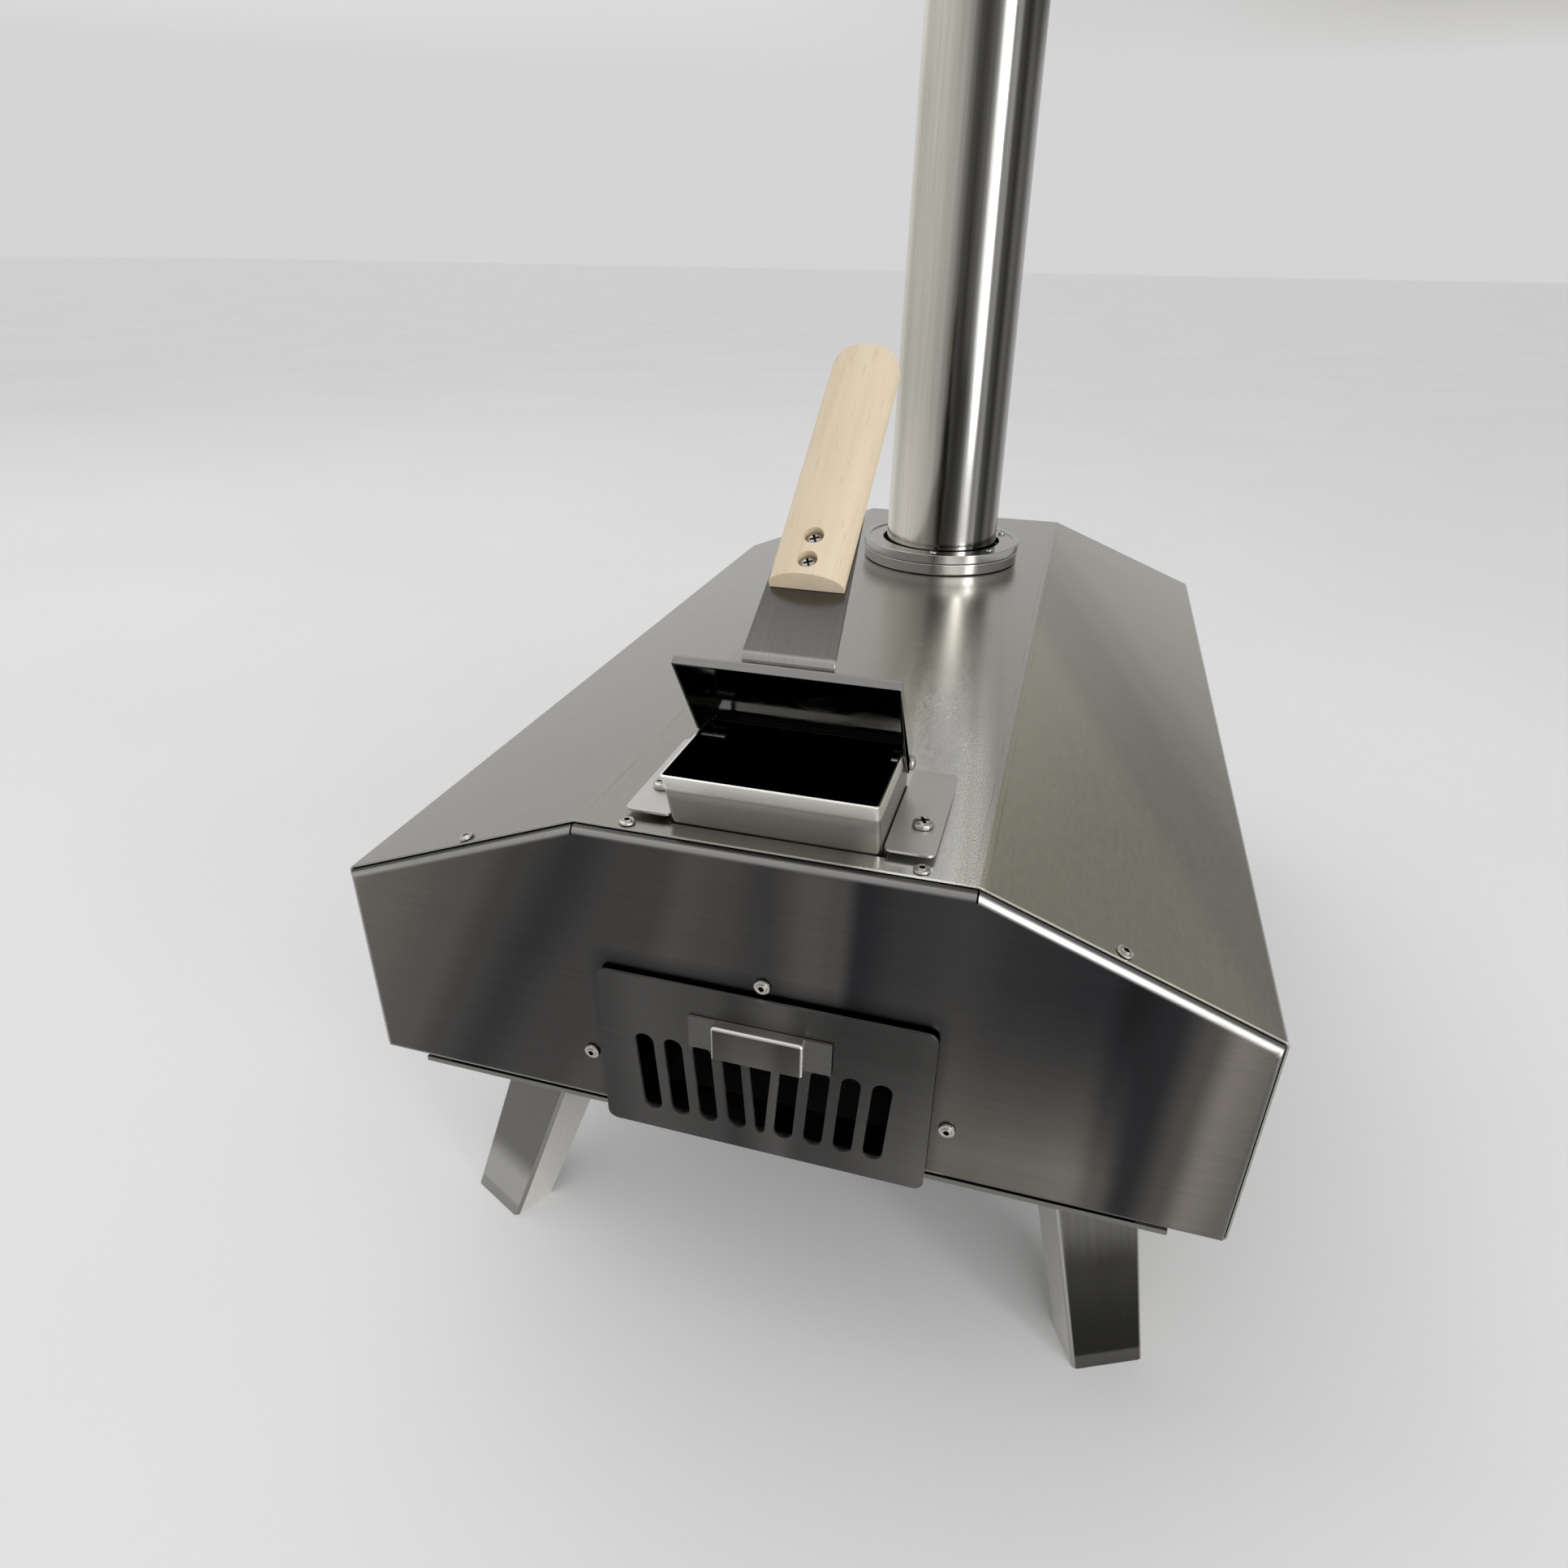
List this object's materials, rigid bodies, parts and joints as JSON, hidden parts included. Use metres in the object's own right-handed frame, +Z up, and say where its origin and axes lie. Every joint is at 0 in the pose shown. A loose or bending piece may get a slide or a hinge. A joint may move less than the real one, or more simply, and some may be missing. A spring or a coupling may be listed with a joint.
{
  "type": "portable pizza oven",
  "caption": "Portable pellet-fired pizza oven: six-sided steel casing on folding legs, slotted burner drawer, hinged hopper lid with a wooden handle, chimney.",
  "frame": {"origin": "on the surface that the feet stand on, in the middle of the oven's bounding box", "axes": "+Z up along the chimney, +Y from the fuel end to the door end, +X to the right as seen from the fuel end"},
  "size_m": [0.39, 0.6486, 0.7295],
  "materials": {
    "casing_steel": "satin stainless steel, brushed along the body",
    "panel_steel": "satin stainless steel, brushed across the panel",
    "hatch_steel": "darker satin stainless steel",
    "hopper_steel": "bright satin stainless steel",
    "collar_steel": "turned satin stainless steel",
    "polished_tube": "bright polished stainless steel",
    "leg_steel": "satin stainless steel, brushed along the leg",
    "chamber_steel": "dull sheet steel",
    "bright_fasteners": "bright nickel plate",
    "pale_wood": "pale sanded hardwood, unvarnished",
    "fired_stone": "rough fired ceramic stone",
    "ceramic_blanket": "white ceramic fibre blanket"
  },
  "bodies": {
    "oven_body": {"outer_shell": "casing_steel", "rear_panel": "panel_steel", "front_panel": "panel_steel", "bottom_cover": "casing_steel", "top_rivet_left": "bright_fasteners", "top_rivet_right": "bright_fasteners", "roof_rivet_left": "bright_fasteners", "roof_rivet_right": "bright_fasteners", "panel_screw_left": "bright_fasteners", "panel_screw_right": "bright_fasteners", "panel_screw_top": "bright_fasteners", "inner_liner": "chamber_steel", "insulation_blanket": "ceramic_blanket", "chamber_floor": "chamber_steel", "baking_stone": "fired_stone", "flame_baffle": "chamber_steel", "tray_cradle": "chamber_steel", "hopper_chute": "hopper_steel", "hopper_flange_left": "hopper_steel", "hopper_flange_right": "hopper_steel", "flange_screw_left": "bright_fasteners", "flange_screw_right": "bright_fasteners", "hinge_pin_left": "bright_fasteners", "hinge_pin_right": "bright_fasteners", "lower_collar": "collar_steel", "upper_collar": "collar_steel", "collar_screw_1": "bright_fasteners", "collar_screw_2": "bright_fasteners", "collar_screw_3": "bright_fasteners", "collar_screw_4": "bright_fasteners", "leg_bracket_rear_left": "leg_steel", "leg_bracket_rear_right": "leg_steel", "leg_bracket_front_left": "leg_steel", "leg_bracket_front_right": "leg_steel", "leg_pin_rear_left": "bright_fasteners", "leg_pin_rear_right": "bright_fasteners", "leg_pin_front_left": "bright_fasteners", "leg_pin_front_right": "bright_fasteners"},
    "burner_drawer": {"hatch_plate": "hatch_steel", "hatch_handle": "hatch_steel", "burner_tray": "chamber_steel", "fuel_grate": "chamber_steel"},
    "hopper_lid_assembly": {"hopper_lid": "hopper_steel", "lid_strap": "hopper_steel", "lid_handle": "pale_wood", "lid_handle_screw_lower": "bright_fasteners", "lid_handle_screw_upper": "bright_fasteners"},
    "chimney": {"chimney_tube": "polished_tube"},
    "chimney_lid": {"chimney_cap": "collar_steel", "cap_knob": "pale_wood"},
    "door": {"front_door": "panel_steel", "door_bracket": "hopper_steel", "door_handle": "pale_wood", "door_handle_screw_left": "bright_fasteners", "door_handle_screw_right": "bright_fasteners"},
    "rear_left_leg": {"leg_rear_left": "leg_steel"},
    "rear_right_leg": {"leg_rear_right": "leg_steel"},
    "front_left_leg": {"leg_front_left": "leg_steel"},
    "front_right_leg": {"leg_front_right": "leg_steel"}
  },
  "joints": [
    {"name": "burner_drawer_slide", "type": "slide", "parent": "oven_body", "child": "burner_drawer", "axis": [0, -1, 0], "range_m": [0, 0.15]},
    {"name": "hopper_lid_hinge", "type": "hinge", "parent": "oven_body", "child": "hopper_lid_assembly", "pos_m": [0, -0.25275, 0.3025], "axis": [1, 0, 0], "range_deg": [0, 44]},
    {"name": "chimney_lift", "type": "slide", "parent": "oven_body", "child": "chimney", "axis": [0, 0, 1], "range_m": [0, 0.06]},
    {"name": "chimney_cap_lift", "type": "slide", "parent": "chimney", "child": "chimney_lid", "axis": [0, 0, 1], "range_m": [0, 0.04]},
    {"name": "front_door_slide", "type": "slide", "parent": "oven_body", "child": "door", "axis": [0, 1, 0], "range_m": [0, 0.06]},
    {"name": "rear_left_leg_fold", "type": "hinge", "parent": "oven_body", "child": "rear_left_leg", "pos_m": [-0.1359, -0.20695, 0.1185], "axis": [0.9063, -0.4226, 0], "range_deg": [0, 118]},
    {"name": "rear_right_leg_fold", "type": "hinge", "parent": "oven_body", "child": "rear_right_leg", "pos_m": [0.1359, -0.20695, 0.1185], "axis": [0.9063, 0.4226, 0], "range_deg": [0, 118]},
    {"name": "front_left_leg_fold", "type": "hinge", "parent": "oven_body", "child": "front_left_leg", "pos_m": [-0.1359, 0.17445, 0.1185], "axis": [-0.9063, -0.4226, 0], "range_deg": [0, 118]},
    {"name": "front_right_leg_fold", "type": "hinge", "parent": "oven_body", "child": "front_right_leg", "pos_m": [0.1359, 0.17445, 0.1185], "axis": [-0.9063, 0.4226, 0], "range_deg": [0, 118]}
  ]
}
